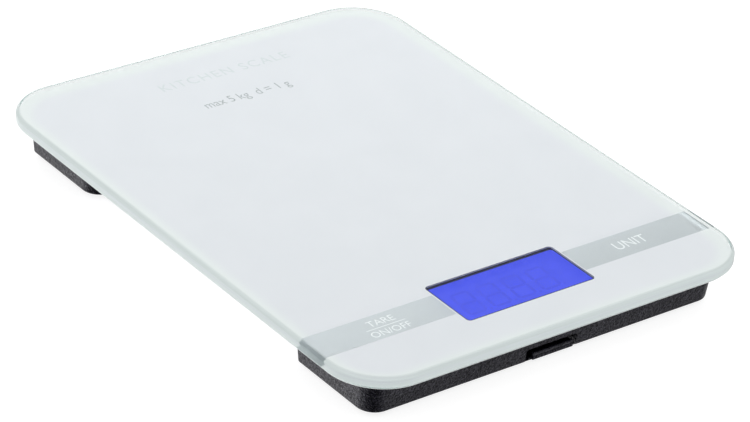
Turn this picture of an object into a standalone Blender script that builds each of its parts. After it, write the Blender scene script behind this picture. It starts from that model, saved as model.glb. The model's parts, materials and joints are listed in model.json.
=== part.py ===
"""Slim electronic kitchen scale with a glass platform.

The glass plate stands on two plastic housings. Each housing holds two load
cells, and each cell stands on a sprung foot that slides up as it is loaded.
The front housing also holds the display, the circuit board, two touch
electrodes and a coin cell behind a hinged door.

X is the width, +Y points to the rear and +Z is up. The feet stand on z = 0,
below the centre of the glass. All sizes are in metres.
"""

import math

import bmesh
import bpy
from mathutils import Matrix, Vector

MM = 0.001

# Driving dimensions
GAP = 0.3 * MM
GLASS_WIDTH = 150 * MM
GLASS_DEPTH = 198.5 * MM
GLASS_THICKNESS = 4 * MM
GLASS_CORNER = 19 * MM
GLASS_EDGE_ROUND = 1.2 * MM
OVERALL_HEIGHT = 18 * MM

# The two housings: same outline, front one under the display
BLOCK_HALF_WIDTH = 65.9 * MM
BLOCK_DEPTH = 35.2 * MM
FRONT_BLOCK_Y = -90.5 * MM
REAR_BLOCK_Y = 54 * MM
BLOCK_BOTTOM = 1.5 * MM
BLOCK_WALL = 1.8 * MM
BLOCK_FRONT_CORNER = 6 * MM
BLOCK_REAR_CORNER = 1.2 * MM
BLOCK_BOTTOM_ROUND = 0.5 * MM
DRAFT_SLOPE = math.tan(math.radians(5))

# Levels of the stack, from the glass down
GLASS_BOTTOM = OVERALL_HEIGHT - GLASS_THICKNESS
FILM_THICKNESS = 0.2 * MM
FILM_TOP = GLASS_BOTTOM - GAP
FILM_BOTTOM = FILM_TOP - FILM_THICKNESS
FILM_INSET = 1.5 * MM
BLOCK_TOP = FILM_BOTTOM - GAP
TAPE_THICKNESS = 0.2 * MM
TAPE_BOTTOM = BLOCK_TOP - TAPE_THICKNESS
CHASSIS_TOP = TAPE_BOTTOM - GAP
CHASSIS_THICKNESS = 1.2 * MM
CHASSIS_BOTTOM = CHASSIS_TOP - CHASSIS_THICKNESS
CHASSIS_LIP = 0.5 * MM
LCD_TOP = CHASSIS_TOP - CHASSIS_LIP - GAP
LCD_THICKNESS = 1.6 * MM
LCD_BOTTOM = LCD_TOP - LCD_THICKNESS
BACKLIGHT_TOP = LCD_BOTTOM - GAP
BACKLIGHT_THICKNESS = 1.5 * MM
BACKLIGHT_BOTTOM = BACKLIGHT_TOP - BACKLIGHT_THICKNESS
BOARD_TOP = BACKLIGHT_BOTTOM - GAP
BOARD_THICKNESS = 0.8 * MM
BOARD_BOTTOM = BOARD_TOP - BOARD_THICKNESS
ROOF_TOP = BOARD_BOTTOM - GAP
ROOF_THICKNESS = 0.8 * MM
ROOF_BOTTOM = ROOF_TOP - ROOF_THICKNESS
FLOOR_TOP = BLOCK_BOTTOM + BLOCK_WALL
OVERLAP = 0.5 * MM
EASED_EDGE = 0.3 * MM
TAPE_INSET = 0.9 * MM
TAPE_SETBACK = Vector((1, 1)) * MM

# Display window and the stack under it
WINDOW_SIZE = Vector((47.9, 21.3)) * MM
WINDOW_CENTRE = Vector((-0.15, -71.25)) * MM
WINDOW_CORNER = 1.1 * MM
LIP_SETBACK = Vector((1.45, 0.8)) * MM
LCD_SIZE = Vector((54, 26)) * MM
ELASTOMER_DEPTH = 1.8 * MM
BACKLIGHT_MARGIN = 0.9 * MM
LED_SIZE = Vector((1.4, 3.2)) * MM
LED_HEIGHT = 1.2 * MM

# Touch electrodes, below the two key legends
TOUCH_SPOTS = {"left": Vector((-46.7, -71.4)) * MM, "right": Vector((47, -71)) * MM}
TOUCH_HOLE_RADIUS = 4.6 * MM
TOUCH_COIL_RADIUS = 3.5 * MM
TOUCH_WIRE_RADIUS = 0.25 * MM
TOUCH_TURNS = 4

# Circuit board: half sizes of its middle part and of its arms
BOARD_HALF_WIDTH = 31.6 * MM
BOARD_HALF_DEPTH = 14.4 * MM
BOARD_REACH = 55 * MM
ARM_HALF_DEPTH = 6 * MM

# Load cells and feet
CELL_X = 50 * MM
CELL_SIZE = 24 * MM
CELL_THICKNESS = 1.2 * MM
CELL_BOTTOM = 5 * MM
CELL_TOP = CELL_BOTTOM + CELL_THICKNESS
CELL_POST_OFFSET = 10.5 * MM
CELL_POST_RADIUS = 1.5 * MM
FOOT_RADIUS = 9.5 * MM
FOOT_FLANGE_RADIUS = 10.7 * MM
FOOT_HOLE_RADIUS = FOOT_RADIUS + GAP
FOOT_BOTTOM = 0.9 * MM
PAD_RADIUS = 8.4 * MM
PAD_TOP = 1.6 * MM
COLLAR_WALL = 1.2 * MM

# Screws that hold each housing to its chassis
SCREW_X = 34.5 * MM
SCREW_Y_OFFSET = 11.5 * MM
SCREW_HEAD_RADIUS = 2.1 * MM
SCREW_HEAD_BOTTOM = 1.9 * MM
SCREW_HEAD_TOP = 3.1 * MM
SCREW_SHANK_RADIUS = 1 * MM
SCREW_TIP = 10.4 * MM
PILLAR_RADIUS = 3.2 * MM
PILLAR_TOP = 7 * MM
BOSS_RADIUS = 2.5 * MM
CROSS_HALF_WIDTH = 0.25 * MM
CROSS_REACH = 1.2 * MM
CROSS_DEPTH = 0.7 * MM

# Battery compartment, on the centre line of the notch in the front wall
BAY_X = 1.4 * MM
BAY_Y = -74.5 * MM
COIN_RADIUS = 10 * MM
COIN_THICKNESS = 3.2 * MM
DOOR_THICKNESS = 1 * MM
DOOR_TOP = BLOCK_BOTTOM + DOOR_THICKNESS
DOOR_HALF_WIDTH = 12 * MM
DOOR_FRONT = -85.9 * MM
DOOR_REAR = -62 * MM
NOTCH_HALF_WIDTH = 9.8 * MM
NOTCH_TOP = 6 * MM
NOTCH_CORNER = 1 * MM
LATCH_OFFSET = 0.6 * MM
LATCH_HALF_WIDTH = 7.8 * MM
LATCH_FRONT = -90.9 * MM
LATCH_TOP = 4.1 * MM
LATCH_THICKNESS = 1.2 * MM
GROOVE_BOTTOM = 2.8 * MM
GROOVE_TOP = 3.1 * MM
GROOVE_DEPTH = 0.3 * MM
HOOK_INNER = 7.5 * MM
HOOK_OUTER = 10.5 * MM
HOOK_DEPTH = 1 * MM
HOOK_REACH = 2.2 * MM
HOOK_HEIGHT = 0.8 * MM
HOOK_STEP = 0.2 * MM
FINGER_INNER = 9.9 * MM
FINGER_OUTER = 11.4 * MM
FINGER_DEPTH = 1 * MM
FINGER_TOP = 5.4 * MM
POCKET_CLEARANCE = 0.4 * MM
POCKET_WALL = 1.1 * MM
CONTACT_HALF_WIDTH = 2.5 * MM
CONTACT_THICKNESS = 0.3 * MM
NEGATIVE_REACH = 7 * MM
NEGATIVE_END = 1.5 * MM
POSITIVE_X = BAY_X + COIN_RADIUS + GAP

# Wiring from the rear cells
LEAD_RADIUS = 0.5 * MM
LEAD_X = (28 * MM, 31 * MM)
LEAD_LEVEL = 10.4 * MM
CHANNEL_HALF_WIDTH = 3.5 * MM
CHANNEL_WALL = 0.9 * MM
CHANNEL_BOTTOM = 9 * MM
LEAD_POINT_SPACING = 4 * MM

# Facets
CORNER_STEPS = 12
FRONT_CORNER_STEPS = 12
REAR_CORNER_STEPS = 4
ROUND_STEPS = 28
SMALL_STEPS = 12
POST_STEPS = 8
SINK_STEPS = 16
WIRE_TURN_STEPS = 11
SMOOTH_ANGLE = math.radians(35)

MATERIALS = {
    # name: (colour, roughness, metallic)
    "clear_glass": ((0.86, 0.93, 0.92), 0.03, 0.0),
    "white_film": ((0.80, 0.82, 0.84), 0.45, 0.0),
    "black_plastic": ((0.045, 0.045, 0.05), 0.55, 0.0),
    "chassis_plastic": ((0.02, 0.02, 0.022), 0.6, 0.0),
    "channel_plastic": ((0.75, 0.76, 0.77), 0.5, 0.0),
    "foam_tape": ((0.08, 0.08, 0.08), 0.9, 0.0),
    "display_glass": ((0.08, 0.09, 0.80), 0.1, 0.0),
    "light_guide": ((0.85, 0.88, 0.95), 0.2, 0.0),
    "circuit_board": ((0.01, 0.16, 0.06), 0.4, 0.0),
    "chip_plastic": ((0.015, 0.015, 0.015), 0.5, 0.0),
    "elastomer": ((0.25, 0.25, 0.27), 0.8, 0.0),
    "plated_steel": ((0.62, 0.63, 0.64), 0.3, 1.0),
    "stainless_steel": ((0.55, 0.55, 0.54), 0.25, 1.0),
    "screw_steel": ((0.12, 0.12, 0.13), 0.35, 1.0),
    "gauge_film": ((0.65, 0.33, 0.08), 0.4, 0.0),
    "lead_insulation": ((0.45, 0.03, 0.03), 0.5, 0.0),
    "foot_plastic": ((0.05, 0.05, 0.055), 0.5, 0.0),
    "rubber": ((0.03, 0.03, 0.03), 0.85, 0.0),
}

SIDES = {"left": -1, "right": 1}


def clear_scene():
    for obj in list(bpy.data.objects):
        bpy.data.objects.remove(obj, do_unlink=True)


def make_collection(name):
    collection = bpy.data.collections.new(name)
    bpy.context.scene.collection.children.link(collection)
    return collection


def make_material(name):
    colour, roughness, metallic = MATERIALS[name]
    material = bpy.data.materials.new(name)
    material.use_nodes = True
    shader = material.node_tree.nodes["Principled BSDF"]
    shader.inputs["Base Color"].default_value = (*colour, 1)
    shader.inputs["Roughness"].default_value = roughness
    shader.inputs["Metallic"].default_value = metallic
    material.diffuse_color = (*colour, 1)
    return material


clear_scene()
PARTS = make_collection("glass_kitchen_scale")
TOOLS = make_collection("cutters")
TOOLS.hide_render = True
FINISHES = {name: make_material(name) for name in MATERIALS}


def add_object(name, data, finish):
    """An object with a finish is a part of the scale; one without is a cutter or a joined shape."""
    obj = bpy.data.objects.new(name, data)
    if finish:
        PARTS.objects.link(obj)
        data.materials.clear()
        data.materials.append(FINISHES[finish])
    else:
        TOOLS.objects.link(obj)
        obj.hide_render = True
        obj.display_type = "WIRE"
    return obj


def add_mesh(name, shape, finish):
    bmesh.ops.recalc_face_normals(shape, faces=shape.faces)
    mesh = bpy.data.meshes.new(name)
    shape.to_mesh(mesh)
    shape.free()
    mesh.shade_smooth()
    mesh.set_sharp_from_angle(angle=SMOOTH_ANGLE)
    return add_object(name, mesh, finish)


def box_shape(low, high):
    """A box between two opposite corners."""
    shape = bmesh.new()
    bmesh.ops.create_cube(shape, size=1)
    low, high = Vector(low), Vector(high)
    bmesh.ops.scale(shape, vec=high - low, verts=shape.verts)
    bmesh.ops.translate(shape, vec=(low + high) / 2, verts=shape.verts)
    return shape


def add_box(name, low, high, finish=None):
    return add_mesh(name, box_shape(low, high), finish)


def add_cylinder(name, centre, radius, bottom, top, finish=None, steps=ROUND_STEPS):
    """An upright cylinder at centre = (x, y)."""
    shape = bmesh.new()
    bmesh.ops.create_cone(
        shape, cap_ends=True, segments=steps, radius1=radius, radius2=radius, depth=top - bottom
    )
    place = (centre[0], centre[1], (bottom + top) / 2)
    bmesh.ops.translate(shape, vec=place, verts=shape.verts)
    return add_mesh(name, shape, finish)


def evaluated_mesh(obj):
    """A mesh of obj with its modifiers applied and its loose caps welded."""
    bpy.context.view_layer.update()
    graph = bpy.context.evaluated_depsgraph_get()
    mesh = bpy.data.meshes.new_from_object(obj.evaluated_get(graph))
    shape = bmesh.new()
    shape.from_mesh(mesh)
    bmesh.ops.remove_doubles(shape, verts=shape.verts, dist=0.001 * MM)
    bmesh.ops.recalc_face_normals(shape, faces=shape.faces)
    shape.to_mesh(mesh)
    shape.free()
    mesh.shade_smooth()
    mesh.set_sharp_from_angle(angle=SMOOTH_ANGLE)
    return mesh


def rounded_rectangle(size, centre, radius, steps=CORNER_STEPS):
    """Points of a rectangle whose corners are arcs, anticlockwise."""
    half = Vector(size) / 2 - Vector((radius, radius))
    points = []
    for quadrant, (sx, sy) in enumerate(((1, 1), (-1, 1), (-1, -1), (1, -1))):
        middle = Vector(centre) + Vector((sx * half.x, sy * half.y))
        for step in range(steps + 1):
            angle = math.pi / 2 * (quadrant + step / steps)
            points.append(middle + radius * Vector((math.cos(angle), math.sin(angle))))
    return points


def circle(centre, radius, steps=20):
    angles = [2 * math.pi * step / steps for step in range(steps)]
    return [Vector(centre) + radius * Vector((math.cos(a), math.sin(a))) for a in angles]


def add_plate(name, outlines, bottom, top, finish=None):
    """A flat plate: the first outline is its edge and the others are holes."""
    curve = bpy.data.curves.new(name + "_outline", "CURVE")
    curve.dimensions = "2D"
    curve.fill_mode = "BOTH"
    curve.extrude = (top - bottom) / 2
    for outline in outlines:
        spline = curve.splines.new("POLY")
        spline.points.add(len(outline) - 1)
        for point, spot in zip(spline.points, outline):
            point.co = (spot[0], spot[1], 0, 1)
        spline.use_cyclic_u = True
    guide = add_object(name + "_guide", curve, None)
    mesh = evaluated_mesh(guide)
    bpy.data.objects.remove(guide)
    bpy.data.curves.remove(curve)
    for vertex in mesh.vertices:
        vertex.co.z += (bottom + top) / 2
    mesh.name = name
    return add_object(name, mesh, finish)


def add_turned(name, profile, finish=None, steps=ROUND_STEPS):
    """A turned solid about Z. The profile's (radius, z) points run down its outer side."""
    shape = bmesh.new()
    corners = [shape.verts.new((radius, 0, z)) for radius, z in profile]
    for start, end in zip(corners, corners[1:]):
        shape.edges.new((start, end))
    mesh = bpy.data.meshes.new(name + "_profile")
    shape.to_mesh(mesh)
    shape.free()
    guide = add_object(name + "_guide", mesh, None)
    screw = guide.modifiers.new("turn", "SCREW")
    screw.steps = steps
    screw.render_steps = steps
    screw.use_merge_vertices = True
    screw.merge_threshold = 0.00001
    solid = evaluated_mesh(guide)
    bpy.data.objects.remove(guide)
    bpy.data.meshes.remove(mesh)
    solid.name = name
    return add_object(name, solid, finish)


def add_wire(name, points, radius, finish):
    """A round wire along a list of points."""
    curve = bpy.data.curves.new(name, "CURVE")
    curve.dimensions = "3D"
    curve.bevel_depth = radius
    curve.bevel_resolution = 1
    curve.use_fill_caps = True
    spline = curve.splines.new("POLY")
    spline.points.add(len(points) - 1)
    for point, spot in zip(spline.points, points):
        point.co = (*spot, 1)
    return add_object(name, curve, finish)


def smooth_route(stations):
    """Points of a Catmull-Rom curve through the stations, with four or more to each span."""
    stations = [Vector(station) for station in stations]
    ends = [2 * stations[0] - stations[1], *stations, 2 * stations[-1] - stations[-2]]
    route = []
    for before, start, end, after in zip(ends, ends[1:], ends[2:], ends[3:]):
        steps = max(4, math.ceil((end - start).length / LEAD_POINT_SPACING))
        for step in range(steps):
            t = step / steps
            cubic = 3 * start - before - 3 * end + after
            square = 2 * before - 5 * start + 4 * end - after
            route.append(start + (t * (end - before) + t**2 * square + t**3 * cubic) / 2)
    return [*route, stations[-1]]


def combine(target, operation, others):
    for other in others:
        modifier = target.modifiers.new(other.name, "BOOLEAN")
        modifier.operation = operation
        modifier.solver = "EXACT"
        modifier.object = other


def cut(target, *cutters):
    combine(target, "DIFFERENCE", cutters)


def join(target, *additions):
    combine(target, "UNION", additions)


def add_copy(original, name, place, finish):
    """Another object on the same mesh."""
    obj = bpy.data.objects.new(name, original.data)
    obj.location = place
    PARTS.objects.link(obj)
    original.data.materials.clear()
    original.data.materials.append(FINISHES[finish])
    return obj


# ---------------------------------------------------------------- platform


def glass_platform():
    outline = rounded_rectangle((GLASS_WIDTH, GLASS_DEPTH), (0, 0), GLASS_CORNER)
    glass = add_plate("glass_platform", [outline], GLASS_BOTTOM, OVERALL_HEIGHT, "clear_glass")
    bevel = glass.modifiers.new("polished_edge", "BEVEL")
    bevel.width = GLASS_EDGE_ROUND
    bevel.segments = 3
    bevel.limit_method = "ANGLE"
    bevel.angle_limit = math.radians(60)


def window_outline(setback=(0, 0), corner=WINDOW_CORNER):
    size = WINDOW_SIZE + 2 * Vector(setback)
    return rounded_rectangle(size, WINDOW_CENTRE, corner, steps=4)


def printed_film():
    size = (GLASS_WIDTH - 2 * FILM_INSET, GLASS_DEPTH - 2 * FILM_INSET)
    outline = rounded_rectangle(size, (0, 0), GLASS_CORNER - FILM_INSET)
    add_plate("printed_film", [outline, window_outline()], FILM_BOTTOM, FILM_TOP, "white_film")


# ---------------------------------------------------------------- housings


def tapered_block(name, low, high, corners, bottom_round=0.0, finish=None):
    """A box that widens upwards, with rounded upright edges: corners = (front, rear) radius."""
    shape = box_shape(low, high)
    spread = DRAFT_SLOPE * (high[2] - low[2])
    middle = (low[1] + high[1]) / 2
    for vertex in shape.verts:
        if vertex.co.z > (low[2] + high[2]) / 2:
            vertex.co.x += math.copysign(spread, vertex.co.x)
            vertex.co.y += math.copysign(spread, vertex.co.y - middle)
    for front, radius, steps in (
        (True, corners[0], FRONT_CORNER_STEPS),
        (False, corners[1], REAR_CORNER_STEPS),
    ):
        upright = [
            edge
            for edge in shape.edges
            if abs(edge.verts[0].co.z - edge.verts[1].co.z) > OVERLAP
            and (edge.verts[0].co.y < middle) == front
        ]
        bmesh.ops.bevel(
            shape, geom=upright, offset=radius, segments=steps, profile=0.5, affect="EDGES"
        )
    if bottom_round:
        shape.faces.ensure_lookup_table()
        underside = min(shape.faces, key=lambda face: face.calc_center_median().z)
        bmesh.ops.bevel(
            shape,
            geom=list(underside.edges),
            offset=bottom_round,
            segments=3,
            profile=0.5,
            affect="EDGES",
        )
    return add_mesh(name, shape, finish)


def cell_spots(block_y):
    """The four places where a cell's frame is held, for each side of one housing."""
    centre_y = block_y + BLOCK_DEPTH / 2
    for side in SIDES.values():
        for dx in (-CELL_POST_OFFSET, CELL_POST_OFFSET):
            for dy in (-CELL_POST_OFFSET, CELL_POST_OFFSET):
                yield side * CELL_X + dx, centre_y + dy


def screw_spots(block_y):
    centre_y = block_y + BLOCK_DEPTH / 2
    for side in SIDES.values():
        for dy in (-SCREW_Y_OFFSET, SCREW_Y_OFFSET):
            yield side * SCREW_X, centre_y + dy


def housing_shell(name, block_y):
    """The tub of one housing with its cell pads, foot holes and screw pillars."""
    centre_y = block_y + BLOCK_DEPTH / 2
    shell = tapered_block(
        name,
        (-BLOCK_HALF_WIDTH, block_y, BLOCK_BOTTOM),
        (BLOCK_HALF_WIDTH, block_y + BLOCK_DEPTH, BLOCK_TOP),
        (BLOCK_FRONT_CORNER, BLOCK_REAR_CORNER),
        BLOCK_BOTTOM_ROUND,
        "black_plastic",
    )
    inset = BLOCK_WALL - DRAFT_SLOPE * BLOCK_WALL
    cavity = tapered_block(
        name + "_cavity",
        (-BLOCK_HALF_WIDTH + inset, block_y + inset, FLOOR_TOP),
        (BLOCK_HALF_WIDTH - inset, block_y + BLOCK_DEPTH - inset, BLOCK_TOP + OVERLAP),
        (BLOCK_FRONT_CORNER - BLOCK_WALL, BLOCK_REAR_CORNER / 2),
    )
    cut(shell, cavity)
    root = FLOOR_TOP - OVERLAP
    for number, spot in enumerate(cell_spots(block_y)):
        pad_name = f"{name}_pad_{number}"
        pad = add_cylinder(
            pad_name, spot, CELL_POST_RADIUS, root, CELL_BOTTOM - GAP, None, POST_STEPS
        )
        join(shell, pad)
    for side_name, side in SIDES.items():
        spot = (side * CELL_X, centre_y)
        label = f"{name}_{side_name}"
        collar_radius = FOOT_FLANGE_RADIUS + GAP
        collar_top = FLOOR_TOP + COLLAR_WALL
        ring = add_cylinder(label + "_collar", spot, collar_radius + COLLAR_WALL, root, collar_top)
        bore = add_cylinder(label + "_bore", spot, collar_radius, FLOOR_TOP, collar_top + OVERLAP)
        hole = add_cylinder(label + "_foot_hole", spot, FOOT_HOLE_RADIUS, 0, collar_top)
        join(shell, ring)
        cut(shell, bore, hole)
    for number, spot in enumerate(screw_spots(block_y)):
        label = f"{name}_screw_{number}"
        head_seat = SCREW_HEAD_TOP + GAP
        bore_radius = SCREW_SHANK_RADIUS + GAP
        head_radius = SCREW_HEAD_RADIUS + GAP
        pillar = (label + "_pillar", spot, PILLAR_RADIUS, root, PILLAR_TOP)
        sink = (label + "_sink", spot, head_radius, 0, head_seat)
        bore = (label + "_bore", spot, bore_radius, head_seat - OVERLAP, PILLAR_TOP + OVERLAP)
        join(shell, add_cylinder(*pillar, steps=SMALL_STEPS))
        cut(shell, add_cylinder(*sink, steps=SINK_STEPS), add_cylinder(*bore, steps=POST_STEPS))
    return shell


def lead_hole(name, wall_y):
    """The slot where the rear cells' leads pass through a housing wall."""
    margin = LEAD_RADIUS + GAP
    reach = 3 * MM
    low = (LEAD_X[0] - margin, wall_y - reach, LEAD_LEVEL - margin)
    high = (LEAD_X[1] + margin, wall_y + reach, LEAD_LEVEL + margin)
    return add_box(name, low, high)


def front_housing():
    shell = housing_shell("front_housing", FRONT_BLOCK_Y)
    tunnel_inner = DOOR_HALF_WIDTH + 2 * GAP
    tunnel_outer = DOOR_HALF_WIDTH + BLOCK_WALL
    wall_y = (FRONT_BLOCK_Y + BLOCK_WALL / 2, FRONT_BLOCK_Y + BLOCK_DEPTH - BLOCK_WALL / 2)
    roof_top = ROOF_TOP - OVERLAP / 10
    root = FLOOR_TOP - OVERLAP
    for side_name, side in SIDES.items():
        edges = sorted((BAY_X + side * tunnel_inner, BAY_X + side * tunnel_outer))
        wall = add_box(
            f"bay_wall_{side_name}", (edges[0], wall_y[0], root), (edges[1], wall_y[1], ROOF_TOP)
        )
        join(shell, wall)
    roof = add_box(
        "bay_roof",
        (BAY_X - tunnel_inner - OVERLAP, wall_y[0], ROOF_BOTTOM),
        (BAY_X + tunnel_inner + OVERLAP, wall_y[1], roof_top),
    )
    join(shell, roof)
    opening = add_box(
        "door_opening",
        (BAY_X - DOOR_HALF_WIDTH - GAP, DOOR_FRONT - GAP, 0),
        (BAY_X + DOOR_HALF_WIDTH + GAP, DOOR_REAR + GAP, FLOOR_TOP + OVERLAP),
    )
    cut(shell, opening)
    pocket_radius = COIN_RADIUS + POCKET_CLEARANCE
    ring_radius = pocket_radius + POCKET_WALL
    bay = (BAY_X, BAY_Y)
    ring = add_cylinder("coin_ring", bay, ring_radius, DOOR_TOP + GAP, ROOF_BOTTOM + OVERLAP)
    pocket = add_cylinder("coin_pocket", bay, pocket_radius, 0, ROOF_BOTTOM)
    join(shell, ring)
    cut(shell, pocket, contact_window(), contact_slot(), latch_notch())
    cut(shell, lead_hole("front_lead_hole", FRONT_BLOCK_Y + BLOCK_DEPTH))


def contact_window():
    """The window in the bay roof for the contact on the coin cell's face."""
    half = CONTACT_HALF_WIDTH + GAP
    low = (BAY_X - NEGATIVE_REACH - GAP, BAY_Y - half, ROOF_BOTTOM - OVERLAP)
    high = (BAY_X + NEGATIVE_END + 2 * GAP, BAY_Y + half, ROOF_TOP + OVERLAP)
    return add_box("contact_window", low, high)


def contact_slot():
    """The slot beside the coin cell for the contact on its rim."""
    half = CONTACT_HALF_WIDTH + GAP
    low = (POSITIVE_X - GAP, BAY_Y - half, DOOR_TOP)
    high = (POSITIVE_X + CONTACT_THICKNESS + GAP, BAY_Y + half, ROOF_TOP + OVERLAP)
    return add_box("contact_slot", low, high)


def latch_notch():
    """The finger notch in the front wall, with rounded upper corners."""
    shape = box_shape(
        (BAY_X - NOTCH_HALF_WIDTH, FRONT_BLOCK_Y - 2 * MM, 0),
        (BAY_X + NOTCH_HALF_WIDTH, DOOR_FRONT - GAP / 2, NOTCH_TOP),
    )
    upper = [
        edge
        for edge in shape.edges
        if all(v.co.z > NOTCH_TOP / 2 for v in edge.verts)
        and abs(edge.verts[0].co.x - edge.verts[1].co.x) < GAP
    ]
    bmesh.ops.bevel(
        shape, geom=upper, offset=NOTCH_CORNER, segments=4, profile=0.5, affect="EDGES"
    )
    return add_mesh("latch_notch", shape, None)


def rear_housing():
    shell = housing_shell("rear_housing", REAR_BLOCK_Y)
    cut(shell, lead_hole("rear_lead_hole", REAR_BLOCK_Y))


# ---------------------------------------------------------------- chassis and tape


def chassis_outline(block_y, inset):
    """The inside of a housing at the chassis' level, less a clearance."""
    grown = DRAFT_SLOPE * (CHASSIS_BOTTOM - BLOCK_BOTTOM)
    step = grown - BLOCK_WALL - inset
    size = (2 * (BLOCK_HALF_WIDTH + step), BLOCK_DEPTH + 2 * step)
    return rounded_rectangle(
        size, (0, block_y + BLOCK_DEPTH / 2), BLOCK_FRONT_CORNER - BLOCK_WALL, steps=6
    )


def chassis(name, block_y, holes):
    """The plate stuck to the glass, with the posts that press on the cells and the screw bosses."""
    outlines = [chassis_outline(block_y, GAP + 0.1 * MM), *holes]
    plate = add_plate(name, outlines, CHASSIS_BOTTOM, CHASSIS_TOP, "chassis_plastic")
    root = CHASSIS_BOTTOM + OVERLAP
    for number, spot in enumerate(cell_spots(block_y)):
        post_name = f"{name}_post_{number}"
        post = add_cylinder(post_name, spot, CELL_POST_RADIUS, CELL_TOP + GAP, root, None, POST_STEPS)
        join(plate, post)
    for number, spot in enumerate(screw_spots(block_y)):
        label = f"{name}_boss_{number}"
        pilot_top = SCREW_TIP + GAP
        bore = SCREW_SHANK_RADIUS + GAP
        join(plate, add_cylinder(label, spot, BOSS_RADIUS, PILLAR_TOP + GAP, root, None, SMALL_STEPS))
        cut(plate, add_cylinder(label + "_bore", spot, bore, PILLAR_TOP, pilot_top, None, POST_STEPS))
    return plate


def front_chassis():
    touch_holes = [circle(spot, TOUCH_HOLE_RADIUS) for spot in TOUCH_SPOTS.values()]
    display_hole = window_outline(LIP_SETBACK, WINDOW_CORNER)
    plate = chassis("front_chassis", FRONT_BLOCK_Y, [display_hole, *touch_holes])
    half = LCD_SIZE / 2 + Vector((GAP, GAP))
    low, high = WINDOW_CENTRE - half, WINDOW_CENTRE + half
    pocket_top = CHASSIS_TOP - CHASSIS_LIP
    pocket = add_box("lcd_pocket", (*low, CHASSIS_BOTTOM - OVERLAP), (*high, pocket_top))
    cut(plate, pocket)


def rear_chassis():
    chassis("rear_chassis", REAR_BLOCK_Y, [])


def tapes():
    """The sheets that bond each chassis to the back of the glass."""
    grow = LIP_SETBACK + TAPE_SETBACK
    touch_holes = [circle(spot, TOUCH_HOLE_RADIUS) for spot in TOUCH_SPOTS.values()]
    front = [chassis_outline(FRONT_BLOCK_Y, TAPE_INSET), window_outline(grow), *touch_holes]
    rear = [chassis_outline(REAR_BLOCK_Y, TAPE_INSET)]
    add_plate("front_tape", front, TAPE_BOTTOM, BLOCK_TOP, "foam_tape")
    add_plate("rear_tape", rear, TAPE_BOTTOM, BLOCK_TOP, "foam_tape")


# ---------------------------------------------------------------- display and electronics


def centred_box(name, centre, size, bottom, top, finish):
    half = Vector(size) / 2
    low, high = Vector(centre) - half, Vector(centre) + half
    return add_box(name, (*low, bottom), (*high, top), finish)


def display():
    """LCD glass, its light guide with the LED beside it, and the elastomer strip behind."""
    centred_box("lcd_panel", WINDOW_CENTRE, LCD_SIZE, LCD_BOTTOM, LCD_TOP, "display_glass")
    rear = WINDOW_CENTRE.y + LCD_SIZE.y / 2 - GAP
    strip_front = rear - ELASTOMER_DEPTH
    half_width = LCD_SIZE.x / 2 - BACKLIGHT_MARGIN
    low_x, high_x = WINDOW_CENTRE.x - half_width, WINDOW_CENTRE.x + half_width
    front = WINDOW_CENTRE.y - LCD_SIZE.y / 2 + GAP
    add_box(
        "elastomer_connector",
        (low_x, strip_front, BACKLIGHT_BOTTOM),
        (high_x, rear, BACKLIGHT_TOP),
        "elastomer",
    )
    add_box(
        "backlight_guide",
        (low_x, front, BACKLIGHT_BOTTOM),
        (high_x, strip_front - GAP, BACKLIGHT_TOP),
        "light_guide",
    )
    led_centre = (low_x - GAP - LED_SIZE.x / 2, WINDOW_CENTRE.y)
    led_top = BACKLIGHT_BOTTOM + LED_HEIGHT
    centred_box("backlight_led", led_centre, LED_SIZE, BACKLIGHT_BOTTOM, led_top, "light_guide")


def circuit_board():
    """The board: a middle part under the display, and an arm to each touch electrode."""
    centre_y = FRONT_BLOCK_Y + BLOCK_DEPTH / 2
    quarter = [
        (BOARD_HALF_WIDTH, BOARD_HALF_DEPTH),
        (BOARD_HALF_WIDTH, ARM_HALF_DEPTH),
        (BOARD_REACH, ARM_HALF_DEPTH),
    ]
    outline = quarter + [(x, -y) for x, y in reversed(quarter)]
    outline += [(-x, -y) for x, y in quarter] + [(-x, y) for x, y in reversed(quarter)]
    outline = [(x, centre_y + y) for x, y in outline]
    add_plate("circuit_board", [outline], BOARD_BOTTOM, BOARD_TOP, "circuit_board")


def board_components():
    """Parts soldered under the board, beside the battery compartment."""
    centre_y = FRONT_BLOCK_Y + BLOCK_DEPTH / 2
    top = BOARD_BOTTOM - GAP
    chips = {
        # name: (centre x, centre y offset, width, depth, height)
        "microcontroller": (24, 1, 9, 9, 1.3),
        "cell_amplifier": (-21.5, 2, 8.6, 4.4, 1.4),
        "crystal": (22.5, -8.5, 5, 3.2, 1.1),
    }
    for name, (x, dy, width, depth, height) in chips.items():
        centre = (x * MM, centre_y + dy * MM)
        size = (width * MM, depth * MM)
        finish = "plated_steel" if name == "crystal" else "chip_plastic"
        centred_box(name, centre, size, top - height * MM, top, finish)
    spot = (-21.5 * MM, centre_y - 7 * MM)
    add_cylinder("capacitor", spot, 2 * MM, top - 3 * MM, top, "plated_steel", SINK_STEPS)


def touch_springs():
    """The sprung electrodes between the board's arms and the back of the glass."""
    bottom = BOARD_TOP + GAP + TOUCH_WIRE_RADIUS
    top = BLOCK_TOP - TOUCH_WIRE_RADIUS
    last = TOUCH_TURNS * WIRE_TURN_STEPS
    for side_name, spot in TOUCH_SPOTS.items():
        points = []
        for step in range(last + 1):
            angle = 2 * math.pi * step / WIRE_TURN_STEPS
            x = spot.x + TOUCH_COIL_RADIUS * math.cos(angle)
            y = spot.y + TOUCH_COIL_RADIUS * math.sin(angle)
            points.append((x, y, bottom + (top - bottom) * step / last))
        add_wire(f"touch_spring_{side_name}", points, TOUCH_WIRE_RADIUS, "stainless_steel")


# ---------------------------------------------------------------- load cells and feet


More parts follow.
